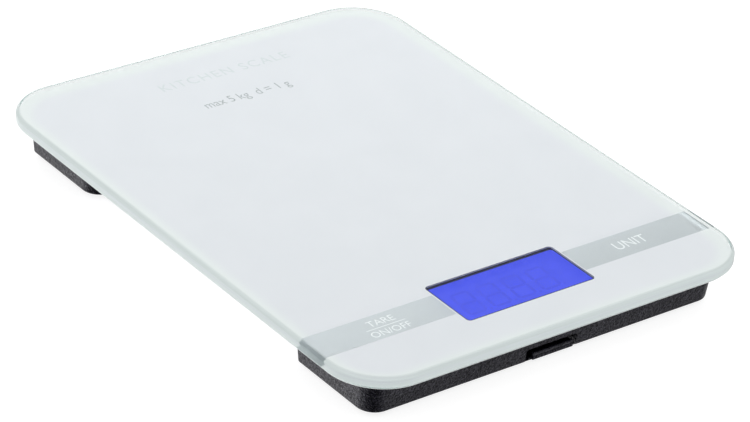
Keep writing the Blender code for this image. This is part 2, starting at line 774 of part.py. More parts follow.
def load_cell_outlines():
    """A square frame with a C-shaped slot that leaves a tongue to bend."""
    frame = rounded_rectangle((CELL_SIZE, CELL_SIZE), (0, 0), 2 * MM, steps=3)
    slot_x, slot_y = 8 * MM, 6.5 * MM
    tongue_x, tongue_y = 6 * MM, 4.5 * MM
    slot = [
        (slot_x, slot_y),
        (-slot_x, slot_y),
        (-slot_x, -slot_y),
        (slot_x, -slot_y),
        (slot_x, -tongue_y),
        (-tongue_x, -tongue_y),
        (-tongue_x, tongue_y),
        (slot_x, tongue_y),
    ]
    return frame, slot


def foot_profile():
    """From the domed top where the cell rests, down the outside, to the pad's recess."""
    flange_bottom = FLOOR_TOP + GAP
    flange_top = flange_bottom + 0.5 * MM
    dome_top = flange_top + GAP
    recess_radius = PAD_RADIUS + GAP
    recess_top = PAD_TOP + GAP
    return [
        (0, dome_top),
        (1.5 * MM, dome_top - 0.1 * MM),
        (2.5 * MM, flange_top),
        (FOOT_FLANGE_RADIUS, flange_top),
        (FOOT_FLANGE_RADIUS, flange_bottom),
        (FOOT_RADIUS, flange_bottom),
        (FOOT_RADIUS, FOOT_BOTTOM + EASED_EDGE),
        (FOOT_RADIUS - EASED_EDGE, FOOT_BOTTOM),
        (recess_radius, FOOT_BOTTOM),
        (recess_radius, recess_top),
        (0, recess_top),
    ]


def pad_profile():
    return [
        (0, PAD_TOP),
        (PAD_RADIUS, PAD_TOP),
        (PAD_RADIUS, EASED_EDGE),
        (PAD_RADIUS - EASED_EDGE, 0),
        (0, 0),
    ]


def corners_of_scale():
    """(name, side, x, y) of the four load cells."""
    for row, block_y in (("front", FRONT_BLOCK_Y), ("rear", REAR_BLOCK_Y)):
        for side_name, side in SIDES.items():
            yield f"{row}_{side_name}", side, side * CELL_X, block_y + BLOCK_DEPTH / 2


def load_cells_and_feet():
    """One cell, one gauge, one foot and one pad at each corner. The tongue points outwards."""
    frame, slot = load_cell_outlines()
    gauge_half, gauge_x = Vector((1.5, 2)) * MM, 5.5 * MM
    gauge_bottom = CELL_TOP + GAP
    foot = add_turned("foot_shape", foot_profile())
    pad = add_turned("pad_shape", pad_profile())
    for name, side, x, y in corners_of_scale():
        outlines = [[(x - side * u, y + v) for u, v in outline] for outline in (frame, slot)]
        add_plate(f"load_cell_{name}", outlines, CELL_BOTTOM, CELL_TOP, "plated_steel")
        centre = (x - side * gauge_x, y)
        gauge_top = gauge_bottom + 0.2 * MM
        gauge_name = f"strain_gauge_{name}"
        centred_box(gauge_name, centre, 2 * gauge_half, gauge_bottom, gauge_top, "gauge_film")
        add_copy(foot, f"foot_{name}", (x, y, 0), "foot_plastic")
        add_copy(pad, f"foot_pad_{name}", (x, y, 0), "rubber")


# ---------------------------------------------------------------- battery


def coin_cell():
    bottom = DOOR_TOP + GAP
    top = bottom + COIN_THICKNESS
    edge = 0.35 * MM
    cap_radius = COIN_RADIUS - 1.1 * MM
    profile = [
        (0, top),
        (cap_radius - edge, top),
        (cap_radius, top - edge),
        (COIN_RADIUS - edge, top - edge),
        (COIN_RADIUS, top - 2 * edge),
        (COIN_RADIUS, bottom + edge),
        (COIN_RADIUS - edge, bottom),
        (0, bottom),
    ]
    shape = add_turned("coin_shape", profile)
    add_copy(shape, "coin_cell", (BAY_X, BAY_Y, 0), "stainless_steel")


def battery_contacts():
    """Two strips of spring metal: one over the cell's face and one against its rim."""
    leaf_bottom = ROOF_BOTTOM + 0.1 * MM
    leaf_top = leaf_bottom + CONTACT_THICKNESS
    board = BOARD_BOTTOM - GAP
    start, end = BAY_X - NEGATIVE_REACH, BAY_X + NEGATIVE_END
    low_y, high_y = BAY_Y - CONTACT_HALF_WIDTH, BAY_Y + CONTACT_HALF_WIDTH
    negative = add_box(
        "battery_contact_negative", (start, low_y, leaf_bottom), (end, high_y, leaf_top), "plated_steel"
    )
    riser = add_box(
        "negative_riser", (start, low_y, leaf_bottom), (start + CONTACT_THICKNESS, high_y, board)
    )
    join(negative, riser)
    add_box(
        "battery_contact_positive",
        (POSITIVE_X, low_y, DOOR_TOP + GAP),
        (POSITIVE_X + CONTACT_THICKNESS, high_y, board),
        "plated_steel",
    )


def battery_door():
    """The door hangs on two hooks at its rear edge and has a finger latch at the front."""
    door = add_box(
        "battery_door",
        (BAY_X - DOOR_HALF_WIDTH, DOOR_FRONT, BLOCK_BOTTOM),
        (BAY_X + DOOR_HALF_WIDTH, DOOR_REAR, DOOR_TOP),
        "black_plastic",
    )
    latch_x = BAY_X + LATCH_OFFSET
    latch_bottom = BLOCK_BOTTOM + EASED_EDGE / 2
    floor_half_width = NOTCH_HALF_WIDTH - GAP
    notch_floor = add_box(
        "notch_floor",
        (BAY_X - floor_half_width, FRONT_BLOCK_Y + GAP, latch_bottom),
        (BAY_X + floor_half_width, DOOR_FRONT + OVERLAP, DOOR_TOP - EASED_EDGE / 2),
    )
    shape = box_shape(
        (latch_x - LATCH_HALF_WIDTH, LATCH_FRONT, latch_bottom),
        (latch_x + LATCH_HALF_WIDTH, LATCH_FRONT + LATCH_THICKNESS, LATCH_TOP),
    )
    bmesh.ops.bevel(
        shape, geom=list(shape.edges), offset=EASED_EDGE, segments=2, profile=0.5, affect="EDGES"
    )
    join(door, notch_floor, add_mesh("latch_tab", shape, None))
    groove = add_box(
        "latch_groove",
        (latch_x - NOTCH_HALF_WIDTH, LATCH_FRONT - OVERLAP, GROOVE_BOTTOM),
        (latch_x + NOTCH_HALF_WIDTH, LATCH_FRONT + GROOVE_DEPTH, GROOVE_TOP),
    )
    cut(door, groove)
    hook_bottom = FLOOR_TOP + GAP
    hook_top = hook_bottom + HOOK_HEIGHT
    finger_y = DOOR_FRONT + OVERLAP
    for side_name, side in SIDES.items():
        edges = sorted((BAY_X + side * HOOK_INNER, BAY_X + side * HOOK_OUTER))
        stem = add_box(
            f"hook_stem_{side_name}",
            (edges[0], DOOR_REAR - HOOK_DEPTH, DOOR_TOP - OVERLAP),
            (edges[1], DOOR_REAR, hook_top),
        )
        tongue = add_box(
            f"hook_tongue_{side_name}",
            (edges[0] + HOOK_STEP, DOOR_REAR - HOOK_DEPTH / 2, hook_bottom),
            (edges[1] - HOOK_STEP, DOOR_REAR + HOOK_REACH, hook_top - HOOK_STEP / 4),
        )
        finger_edges = sorted((BAY_X + side * FINGER_INNER, BAY_X + side * FINGER_OUTER))
        finger = add_box(
            f"snap_finger_{side_name}",
            (finger_edges[0], finger_y, DOOR_TOP - OVERLAP),
            (finger_edges[1], finger_y + FINGER_DEPTH, FINGER_TOP),
        )
        join(door, stem, tongue, finger)
    to_hinge = Matrix.Translation(-Vector((BAY_X, DOOR_REAR, BLOCK_BOTTOM)))
    door.data.transform(to_hinge)
    for modifier in door.modifiers:
        modifier.object.data.transform(to_hinge)
        modifier.object.parent = door
    door.matrix_world = to_hinge.inverted()


# ---------------------------------------------------------------- screws and wiring


def housing_screws():
    head_edge = 0.3 * MM
    tip_length = 0.8 * MM
    profile = [
        (0, SCREW_TIP),
        (SCREW_SHANK_RADIUS, SCREW_TIP - tip_length),
        (SCREW_SHANK_RADIUS, SCREW_HEAD_TOP),
        (SCREW_HEAD_RADIUS, SCREW_HEAD_TOP),
        (SCREW_HEAD_RADIUS, SCREW_HEAD_BOTTOM + head_edge),
        (SCREW_HEAD_RADIUS - head_edge, SCREW_HEAD_BOTTOM),
        (0, SCREW_HEAD_BOTTOM),
    ]
    blank = add_turned("screw_blank", profile, steps=SINK_STEPS)
    levels = SCREW_HEAD_BOTTOM - OVERLAP, SCREW_HEAD_BOTTOM + CROSS_DEPTH
    arms = (CROSS_REACH, CROSS_HALF_WIDTH), (CROSS_HALF_WIDTH, CROSS_REACH)
    for number, (half_x, half_y) in enumerate(arms):
        low, high = (-half_x, -half_y, levels[0]), (half_x, half_y, levels[1])
        cut(blank, add_box(f"cross_slot_{number}", low, high))
    screw = add_object("screw_shape", evaluated_mesh(blank), None)
    bpy.data.objects.remove(blank)
    for row, block_y in (("front", FRONT_BLOCK_Y), ("rear", REAR_BLOCK_Y)):
        for number, (x, y) in enumerate(screw_spots(block_y), start=1):
            add_copy(screw, f"{row}_screw_{number}", (x, y, 0), "screw_steel")


def cable_channel():
    """The U-shaped duct under the glass that leads the rear cells' wires forward."""
    middle = sum(LEAD_X) / 2
    spread = DRAFT_SLOPE * (BLOCK_TOP - BLOCK_BOTTOM) + GAP
    start = FRONT_BLOCK_Y + BLOCK_DEPTH + spread
    end = REAR_BLOCK_Y - spread
    channel = add_box(
        "cable_channel",
        (middle - CHANNEL_HALF_WIDTH, start, CHANNEL_BOTTOM),
        (middle + CHANNEL_HALF_WIDTH, end, BLOCK_TOP),
        "channel_plastic",
    )
    inner = CHANNEL_HALF_WIDTH - CHANNEL_WALL
    hollow = add_box(
        "channel_hollow",
        (middle - inner, start - OVERLAP, LEAD_LEVEL - LEAD_RADIUS - 0.1 * MM),
        (middle + inner, end + OVERLAP, BLOCK_TOP + OVERLAP),
    )
    cut(channel, hollow)


def cell_leads():
    """The wires from each load cell to the circuit board."""
    cell_level = CELL_TOP + GAP + LEAD_RADIUS
    board_level = BOARD_TOP + GAP + LEAD_RADIUS
    front_y = FRONT_BLOCK_Y + BLOCK_DEPTH / 2
    rear_y = REAR_BLOCK_Y + BLOCK_DEPTH / 2
    for side_name, side in SIDES.items():
        stations = [
            (side * 46 * MM, front_y - 7.6 * MM, cell_level),
            (side * 41 * MM, front_y - 7.5 * MM, cell_level),
            (side * 37 * MM, front_y - 7.3 * MM, cell_level + 0.8 * MM),
            (side * 33.5 * MM, front_y - 7 * MM, board_level),
            (side * 29.6 * MM, front_y - 7 * MM, board_level),
        ]
        add_wire(f"cell_lead_front_{side_name}", smooth_route(stations), LEAD_RADIUS, "lead_insulation")
    turn = 5.6 * MM
    inside_front = FRONT_BLOCK_Y + BLOCK_DEPTH - 3 * MM
    for side_name, lane in zip(SIDES, LEAD_X):
        side = SIDES[side_name]
        stations = [
            (side * 46 * MM, rear_y - turn, cell_level),
            (side * 41 * MM, rear_y - turn, cell_level + 0.3 * MM),
        ]
        if side < 0:
            stations.append((-20 * MM, rear_y - turn, LEAD_LEVEL))
            stations.append((15 * MM, rear_y - turn, LEAD_LEVEL))
            stations.append((24 * MM, rear_y - turn - 1.2 * MM, LEAD_LEVEL))
        else:
            stations.append((37 * MM, rear_y - turn, LEAD_LEVEL - 1.5 * MM))
            stations.append((33 * MM, rear_y - turn - 1.2 * MM, LEAD_LEVEL))
        stations += [
            (lane + side * 0.2 * MM, rear_y - 10 * MM, LEAD_LEVEL),
            (lane, rear_y - 14 * MM, LEAD_LEVEL),
            (lane, 0, LEAD_LEVEL),
            (lane, inside_front, LEAD_LEVEL),
            (lane, inside_front - 3 * MM, board_level + 0.4 * MM),
            (lane, inside_front - 6 * MM, board_level),
        ]
        add_wire(f"cell_lead_rear_{side_name}", smooth_route(stations), LEAD_RADIUS, "lead_insulation")


glass_platform()
printed_film()
front_housing()
rear_housing()
front_chassis()
rear_chassis()
tapes()
display()
circuit_board()
board_components()
touch_springs()
load_cells_and_feet()
coin_cell()
battery_contacts()
battery_door()
housing_screws()
cable_channel()
cell_leads()
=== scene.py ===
"""The looks of the glass kitchen scale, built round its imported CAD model.

X is the width, +Y points to the rear, +Z is up, and the feet stand on z = 0. Sizes are in metres.
"""

import json
import math

import bmesh
import bpy
from mathutils import Matrix, Vector

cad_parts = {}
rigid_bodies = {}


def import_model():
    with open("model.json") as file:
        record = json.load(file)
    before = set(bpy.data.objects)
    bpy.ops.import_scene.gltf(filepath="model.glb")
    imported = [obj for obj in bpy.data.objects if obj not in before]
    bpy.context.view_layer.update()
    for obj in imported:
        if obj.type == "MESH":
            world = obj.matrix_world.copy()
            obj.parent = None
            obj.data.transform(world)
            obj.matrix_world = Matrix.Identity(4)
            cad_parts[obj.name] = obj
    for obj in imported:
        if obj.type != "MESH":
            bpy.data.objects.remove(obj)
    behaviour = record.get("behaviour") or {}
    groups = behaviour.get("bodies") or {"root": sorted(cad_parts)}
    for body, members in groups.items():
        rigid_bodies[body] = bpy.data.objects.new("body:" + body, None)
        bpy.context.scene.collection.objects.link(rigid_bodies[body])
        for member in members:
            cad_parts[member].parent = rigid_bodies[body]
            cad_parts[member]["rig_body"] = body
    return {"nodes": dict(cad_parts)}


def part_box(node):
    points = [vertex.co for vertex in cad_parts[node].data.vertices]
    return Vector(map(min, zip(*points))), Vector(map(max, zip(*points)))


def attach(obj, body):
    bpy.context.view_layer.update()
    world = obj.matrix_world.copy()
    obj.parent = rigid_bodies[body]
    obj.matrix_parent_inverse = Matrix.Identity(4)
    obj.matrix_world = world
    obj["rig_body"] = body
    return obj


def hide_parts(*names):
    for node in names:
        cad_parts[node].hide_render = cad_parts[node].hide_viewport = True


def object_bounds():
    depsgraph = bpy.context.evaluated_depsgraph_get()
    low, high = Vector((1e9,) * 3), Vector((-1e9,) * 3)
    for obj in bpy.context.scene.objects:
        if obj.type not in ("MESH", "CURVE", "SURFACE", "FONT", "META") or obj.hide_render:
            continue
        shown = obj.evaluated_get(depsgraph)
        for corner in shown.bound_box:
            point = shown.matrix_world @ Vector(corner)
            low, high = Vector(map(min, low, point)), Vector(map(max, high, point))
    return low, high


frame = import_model()
cad_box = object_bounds()

MM = 0.001

# Mesh work
WELD = 0.002 * MM
FINE_WELD = 0.0005 * MM
CREASE_ANGLE = math.radians(35)
BEVEL_ANGLE = math.radians(50)
FLAT_ANGLE = math.radians(0.4)
TURNED_STEPS = 96

# Places read from the frame
GLASS_LOW, GLASS_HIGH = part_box("glass_platform")
GLASS_SIZE = GLASS_HIGH - GLASS_LOW
LCD_LOW, LCD_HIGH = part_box("lcd_panel")
DOOR_LOW, DOOR_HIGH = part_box("battery_door")
COIN_LOW, COIN_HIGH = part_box("coin_cell")
CORNERS = ("front_left", "front_right", "rear_left", "rear_right")

# Glass
GLASS_CORNER = 19 * MM
CHAMFER = 0.9 * MM
CHAMFER_ROUND = 0.3 * MM
# The rim is rough from grinding within these widths, and is tinted darker there as painted shade.
GROUND_AND_SHADE_WIDTH = 0.7 * MM
POLISHED_FROM = 1.8 * MM
FACE_RING = 5.4 * MM

# Print on the glass's back, which starts a little inside the glass and reaches below it
PRINT_INSET = 1.0 * MM
PRINT_DEPTH = 0.03 * MM
PRINT_REACH = 0.2 * MM
LAYER_STEP = 0.012 * MM
WINDOW_SIZE = Vector((47.9, 21.3)) * MM
WINDOW_CENTRE = Vector((-0.15, -71.25)) * MM
WINDOW_CORNER = 1.1 * MM
BORDER_WIDTH = 0.3 * MM
BAND_FRONT = -76.9 * MM
BAND_REAR = -65 * MM
BAND_MARGIN = 0.8 * MM
RULE_LOW = (-53.8 * MM, -71.65 * MM)
RULE_HIGH = (-39.6 * MM, -71.37 * MM)

# Words on the glass: name, words, centre and size in millimetres, ink, layer, letter spacing
LEGENDS = (
    ("legend_kitchen_scale", "KITCHEN SCALE", (2, 81.1), (50, 4.4), "pale_ink", 1, 1.2),
    ("legend_capacity", "max 5 kg  d = 1 g", (-0.5, 64), (33, 5.2), "grey_ink", 1, 1.0),
    ("legend_tare", "TARE", (-46.7, -68.8), (9.4, 2.9), "white_ink", 2, 1.0),
    ("legend_power", "ON/OFF", (-46.7, -74.2), (14.2, 2.9), "white_ink", 2, 1.0),
    ("legend_unit", "UNIT", (47, -70.9), (12.2, 4.2), "white_ink", 2, 1.0),
)

# Digits of the display, which sit a little to the left of its middle
DIGIT_COUNT = 4
DIGIT_WIDTH = 7.2 * MM
DIGIT_HEIGHT = 12.5 * MM
DIGIT_PITCH = 9.4 * MM
DIGIT_SLANT = 0.09
DIGIT_SHIFT = 1.5 * MM
BAR_WIDTH = 1.1 * MM
BAR_GAP = 0.12 * MM
DOT_SIZE = 1 * MM
DOT_CORNER = 0.49 * MM
DOT_RISE = 0.5 * MM
DIGIT_RELIEF = 0.002 * MM

# Coin cell
COIN_CRIMP = 0.35 * MM
COIN_CAP_INSET = 1.1 * MM
PLUS_REACH = 2.2 * MM
PLUS_HALF_WIDTH = 0.4 * MM
PLUS_RELIEF = 0.1 * MM
PLUS_ROOT = 0.05 * MM

# Feet
FOOT_RADIUS = 9.5 * MM
FOOT_GAP = 0.3 * MM
FOOT_ROUND = 0.2 * MM
NIB_RADIUS = 1.6 * MM
NIB_BASE_RADIUS = 2.6 * MM
FLANGE_THICKNESS = 0.5 * MM
PAD_EDGE = 0.3 * MM
PAD_ROUND = 0.1 * MM
PAD_GROOVES = (6.9 * MM, 5.1 * MM, 3.3 * MM)
GROOVE_DEPTH = 0.3 * MM
GROOVE_HALF_MOUTH = 0.35 * MM
GROOVE_HALF_FLOOR = 0.15 * MM

# Marks on the battery door
MARK_HEIGHT = 0.25 * MM
MARK_ROOT = 0.1 * MM
RIB_COUNT = 5
RIB_START = 6.5 * MM
RIB_PITCH = 1.2 * MM
RIB_SIZE = Vector((12, 0.5)) * MM
RIB_CORNER = 0.225 * MM
ARROW_LENGTH = 3.2 * MM
ARROW_HALF_WIDTH = 2.4 * MM

# Studio: name, place, size and power of each lamp
LAMPS = (
    ("overhead", (0.21, 0.40, 0.70), (0.8, 0.5), 3.9),
    ("left_strip", (-1.1, 0.5, 0.5), (1.4, 1.0), 4),
    ("right_strip", (1.0, -0.5, 0.6), (1.4, 1.0), 3),
)
FLOOR_SIZE = 30
FLOOR_DROP = 0.05 * MM

# The camera: its place, and the direction it looks in
CAMERA_PLACE = Vector((-0.61249, -0.75873, 0.56337))
CAMERA_YAW = math.radians(39.0899)
CAMERA_TILT = math.radians(29.7739)
CAMERA_ROLL = math.radians(4.6137)
CAMERA_LENS = 172.74
CAMERA_SENSOR = 36
CAMERA_NEAR = 0.01
CAMERA_FAR = 100


# ---------------------------------------------------------------- shader nodes


class Graph:
    """Short calls for making shader nodes and joining them."""

    def __init__(self, tree):
        self.tree = tree

    def add(self, kind, inputs=None, **settings):
        made = self.tree.nodes.new("ShaderNode" + kind)
        for name, value in settings.items():
            setattr(made, name, value)
        for name, value in (inputs or {}).items():
            if isinstance(value, bpy.types.NodeSocket):
                self.tree.links.new(value, made.inputs[name])
            else:
                made.inputs[name].default_value = value
        return made

    def place(self):
        return self.add("TexCoord").outputs["Object"]

    def noise(self, scale, detail=2.0, roughness=0.5, vector=None):
        inputs = {"Vector": vector or self.place(), "Scale": scale, "Detail": detail}
        inputs["Roughness"] = roughness
        return self.add("TexNoise", inputs).outputs[0]

    def cells(self, scale):
        inputs = {"Vector": self.place(), "Scale": scale}
        return self.add("TexVoronoi", inputs).outputs["Distance"]

    def remap(self, value, low, high, new_low=0.0, new_high=1.0, smooth=False):
        inputs = {"Value": value, "From Min": low, "From Max": high}
        inputs.update({"To Min": new_low, "To Max": new_high})
        kind = "SMOOTHSTEP" if smooth else "LINEAR"
        return self.add("MapRange", inputs, interpolation_type=kind).outputs[0]

    def maths(self, operation, first, second):
        return self.add("Math", {0: first, 1: second}, operation=operation).outputs[0]

    def vector(self, operation, first, second=(0, 0, 0), output="Vector"):
        inputs = {0: first, 1: second}
        return self.add("VectorMath", inputs, operation=operation).outputs[output]

    def between(self, factor, low, high):
        """A number between low and high."""
        return self.add("Mix", {"Factor": factor, 2: low, 3: high}, data_type="FLOAT").outputs[0]

    def blend(self, factor, low, high):
        """A colour between low and high."""
        low = (*low, 1) if isinstance(low, tuple) else low
        high = (*high, 1) if isinstance(high, tuple) else high
        inputs = {"Factor": factor, 6: low, 7: high}
        return self.add("Mix", inputs, data_type="RGBA").outputs[2]

    def bump(self, height, distance, strength=1.0):
        inputs = {"Height": height, "Distance": distance, "Strength": strength}
        return self.add("Bump", inputs).outputs["Normal"]

    def surface_or_clear(self, clearness, surface):
        """Ends the material in its surface where clearness is 0, and in nothing where it is 1."""
        clear = self.add("BsdfTransparent").outputs[0]
        mixed = self.add("MixShader", {0: clearness, 1: surface, 2: clear})
        output = self.tree.nodes["Material Output"]
        self.tree.links.new(mixed.outputs[0], output.inputs["Surface"])


def new_material(name, **inputs):
    """A Principled material with some of its inputs set, as set_inputs does."""
    material = bpy.data.materials.new(name)
    material.use_nodes = True
    graph = Graph(material.node_tree)
    shader = material.node_tree.nodes["Principled BSDF"]
    set_inputs(graph, shader, **inputs)
    return material, graph, shader


def set_inputs(graph, shader, **inputs):
    """Sets or links inputs: each is a socket's name, with _ for a space, and its value."""
    for name, value in inputs.items():
        label = name.replace("_", " ").title()
        label = {"Ior": "IOR", "Specular Ior Level": "Specular IOR Level"}.get(label, label)
        socket = shader.inputs[label]
        if isinstance(value, bpy.types.NodeSocket):
            graph.tree.links.new(value, socket)
        elif isinstance(value, tuple):
            socket.default_value = (*value, 1)
        else:
            socket.default_value = value


# ---------------------------------------------------------------- materials


def edge_distance(graph):
    """How far a point on the glass is inside its outline."""
    half = GLASS_SIZE / 2
    middle = (half.x - GLASS_CORNER, half.y - GLASS_CORNER, 1)
    past = graph.vector("SUBTRACT", graph.vector("ABSOLUTE", graph.place()), middle)
    outside = graph.vector("LENGTH", graph.vector("MAXIMUM", past), output="Value")
    parts = graph.add("SeparateXYZ", {0: past}).outputs
    inside = graph.maths("MINIMUM", graph.maths("MAXIMUM", parts[0], parts[1]), 0.0)
    return graph.maths("SUBTRACT", GLASS_CORNER, graph.maths("ADD", outside, inside))


def clear_glass():
    """Slightly green float glass, clear on its faces and matt from grinding at its rim, where its
    colour is also tinted darker as painted shade.

    Lamps and diffuse light pass straight through to the print.
    """
    material, graph, shader = new_material("clear_glass", transmission_weight=1.0, ior=1.52)
    rim = graph.remap(edge_distance(graph), GROUND_AND_SHADE_WIDTH, POLISHED_FROM, 1, 0, smooth=True)
    stretched = graph.vector("MULTIPLY", graph.place(), (12, 12, 2600))
    streaks = graph.remap(graph.noise(1.0, vector=stretched), 0.35, 0.65)
    # Painted shade: the rim's transmission is tinted grey-green, streaked like grinding marks, so
    # that the edge looks darker.
    ground_and_shade = graph.blend(streaks, (0.53, 0.56, 0.555), (0.63, 0.665, 0.66))
    smudges = graph.remap(graph.noise(45, 4), 0.55, 0.8, 0.0, 0.02)
    set_inputs(
        graph,
        shader,
        base_color=graph.blend(rim, (1.0, 1.0, 1.0), ground_and_shade),
        roughness=graph.between(rim, smudges, 0.16),
        normal=graph.bump(graph.noise(28, 1), 0.004 * MM),
    )
    path = graph.add("LightPath").outputs
    through = graph.maths("MAXIMUM", path["Is Shadow Ray"], path["Is Diffuse Ray"])
    graph.surface_or_clear(through, shader.outputs[0])
    green = graph.add("VolumeAbsorption", {"Color": (0.25, 0.74, 0.58, 1), "Density": 9.0})
    output = graph.tree.nodes["Material Output"]
    graph.tree.links.new(green.outputs[0], output.inputs["Volume"])
    return material


def white_print():
    """Screen-printed white enamel, a little brighter where the edge lets light in."""
    material, graph, shader = new_material("white_print", roughness=0.5, specular_ior_level=0.2)
    mottle = graph.remap(graph.noise(60, 5, 0.6), 0.3, 0.7)
    body = graph.blend(mottle, (0.715, 0.715, 0.755), (0.735, 0.733, 0.773))
    rim = graph.remap(edge_distance(graph), 3 * MM, 7.5 * MM, 1, 0, smooth=True)
    colour = graph.blend(rim, body, (0.755, 0.775, 0.78))
    texture = graph.bump(graph.noise(2500), 0.003 * MM)
    set_inputs(graph, shader, base_color=colour, normal=texture)
    return material


def silver_print():
    """Silver ink: a fine metallic flake."""
    material, graph, shader = new_material("silver_print", metallic=0.8)
    flakes = graph.remap(graph.noise(5000, 3, 0.7), 0.3, 0.7)
    colour = graph.blend(flakes, (0.46, 0.48, 0.50), (0.57, 0.59, 0.615))
    roughness = graph.remap(graph.noise(900), 0.3, 0.7, 0.36, 0.44)
    set_inputs(graph, shader, base_color=colour, roughness=roughness)
    return material


def ink(name, low, high):
    """Opaque printing ink with the slight mottle of a screen."""
    material, graph, shader = new_material(name, roughness=0.5, specular_ior_level=0.2)
    mottle = graph.remap(graph.noise(1800, 3), 0.3, 0.7)
    set_inputs(graph, shader, base_color=graph.blend(mottle, low, high))
    return material


def spark_plastic():
    """Charcoal ABS from a spark-eroded mould: a coarse grain that sparkles."""
    material, graph, shader = new_material("spark_plastic", specular_tint=(0.86, 0.84, 1.0))
    grain = graph.noise(1500, 4, 0.75)
    specks = graph.remap(grain, 0.38, 0.66)
    pits = graph.maths("MULTIPLY", graph.cells(1300), 0.8)
    set_inputs(
        graph,
        shader,
        base_color=graph.blend(specks, (0.0008, 0.0008, 0.0014), (0.0095, 0.009, 0.0155)),
        roughness=graph.remap(graph.noise(1900), 0.35, 0.65, 0.20, 0.42),
        specular_ior_level=graph.remap(grain, 0.4, 0.62, 0.12, 1.0),
        normal=graph.bump(graph.maths("ADD", grain, pits), 0.35 * MM, 0.65),
    )
    return material


def moulded_plastic(name, low, high, roughness):
    """Plain moulded plastic with a fine, even grain."""
    material, graph, shader = new_material(name)
    grain = graph.noise(2400)
    tone = graph.remap(graph.noise(120, 3), 0.3, 0.7)
    set_inputs(
        graph,
        shader,
        base_color=graph.blend(tone, low, high),
        roughness=graph.remap(grain, 0.3, 0.7, roughness - 0.06, roughness + 0.06),
        normal=graph.bump(grain, 0.02 * MM, 0.5),
    )
    return material


def lit_screen(name, base, cloud, low, high):
    """A lit blue screen: cloud is the scale, detail and roughness of its faint unevenness."""
    material, graph, shader = new_material(
        name, base_color=base, roughness=0.25, specular_ior_level=0.1, emission_strength=1.0
    )
    unevenness = graph.remap(graph.noise(*cloud), 0.3, 0.7)
    set_inputs(graph, shader, emission_color=graph.blend(unevenness, low, high))
    return material


def metal(name, colour, low, high, grain=900, stretch=(1, 1, 1)):
    """Metal whose roughness varies from low to high along a brushed or rolled grain."""
    material, graph, shader = new_material(name, metallic=1.0)
    surface = graph.noise(grain, 3, 0.6, graph.vector("MULTIPLY", graph.place(), stretch))
    dull = tuple(part * 0.8 for part in colour)
    set_inputs(
        graph,
        shader,
        base_color=graph.blend(graph.remap(graph.noise(150, 3), 0.3, 0.7), dull, colour),
        roughness=graph.remap(surface, 0.3, 0.7, low, high),
        normal=graph.bump(surface, 0.006 * MM, 0.4),
    )
    return material


def rubber():
    """Soft black rubber with a little dust on it."""
    material, graph, shader = new_material("rubber", specular_ior_level=0.35)
    dust = graph.remap(graph.noise(400, 5, 0.7), 0.45, 0.75)
    set_inputs(
        graph,
        shader,
        base_color=graph.blend(dust, (0.014, 0.014, 0.015), (0.035, 0.034, 0.033)),
        roughness=graph.remap(dust, 0, 1, 0.7, 0.9),
        normal=graph.bump(graph.noise(3000, 3), 0.02 * MM, 0.5),
    )
    return material


def circuit_mask():
    """Green solder mask over copper tracks."""
    material, graph, shader = new_material("circuit_mask", coat_weight=0.4, coat_roughness=0.15)
    inputs = {"Vector": graph.vector("MULTIPLY", graph.place(), (420, 260, 0))}
    inputs.update({"Scale": 1.0, "Mortar Size": 0.12})
    tracks = graph.add("TexBrick", inputs).outputs["Fac"]
    mask = graph.blend(graph.noise(500), (0.006, 0.085, 0.035), (0.010, 0.120, 0.050))
    set_inputs(
        graph,
        shader,
        base_color=graph.blend(tracks, mask, (0.020, 0.200, 0.075)),
        roughness=graph.remap(tracks, 0, 1, 0.35, 0.45),
        normal=graph.bump(tracks, 0.03 * MM, 0.5),
    )
    return material


def floor_white():
    """A light table: it glows, so that shadows on it stay pale, and is clear from underneath."""
    material, graph, shader = new_material(
        "floor_white",
        roughness=0.9,
        specular_ior_level=0.0,
        emission_color=(1.0, 1.0, 1.0),
        emission_strength=0.85,
    )
    shade = graph.blend(graph.noise(3), (0.32, 0.32, 0.32), (0.34, 0.34, 0.34))
    set_inputs(graph, shader, base_color=shade)
    from_below = graph.add("NewGeometry").outputs["Backfacing"]
    graph.surface_or_clear(from_below, shader.outputs[0])
    return material


# Plain plastics: darker colour, lighter colour, roughness
PLASTICS = {
    "chassis_plastic": ((0.014, 0.015, 0.018), (0.022, 0.023, 0.027), 0.55),
    "channel_plastic": ((0.66, 0.67, 0.68), (0.72, 0.73, 0.74), 0.5),
    "foot_plastic": ((0.012, 0.012, 0.013), (0.022, 0.022, 0.024), 0.45),
    "chip_plastic": ((0.010, 0.010, 0.011), (0.018, 0.018, 0.019), 0.5),
    "light_guide": ((0.78, 0.82, 0.90), (0.84, 0.87, 0.93), 0.25),
    "foam_tape": ((0.05, 0.05, 0.05), (0.09, 0.09, 0.09), 0.85),
    "elastomer": ((0.20, 0.20, 0.22), (0.28, 0.28, 0.30), 0.75),
    "gauge_film": ((0.50, 0.22, 0.04), (0.62, 0.30, 0.07), 0.35),
    "lead_insulation": ((0.36, 0.02, 0.02), (0.44, 0.03, 0.03), 0.42),
}
LCD_LOOK = (
    (0.01, 0.012, 0.06), (160, 3, 0.6), (0.050, 0.080, 0.88), (0.062, 0.094, 0.96)
)
SEGMENT_LOOK = (
    (0.01, 0.01, 0.05), (300, 2, 0.5), (0.044, 0.071, 0.83), (0.054, 0.083, 0.89)
)
FINISHES = {name: moulded_plastic(name, *look) for name, look in PLASTICS.items()}
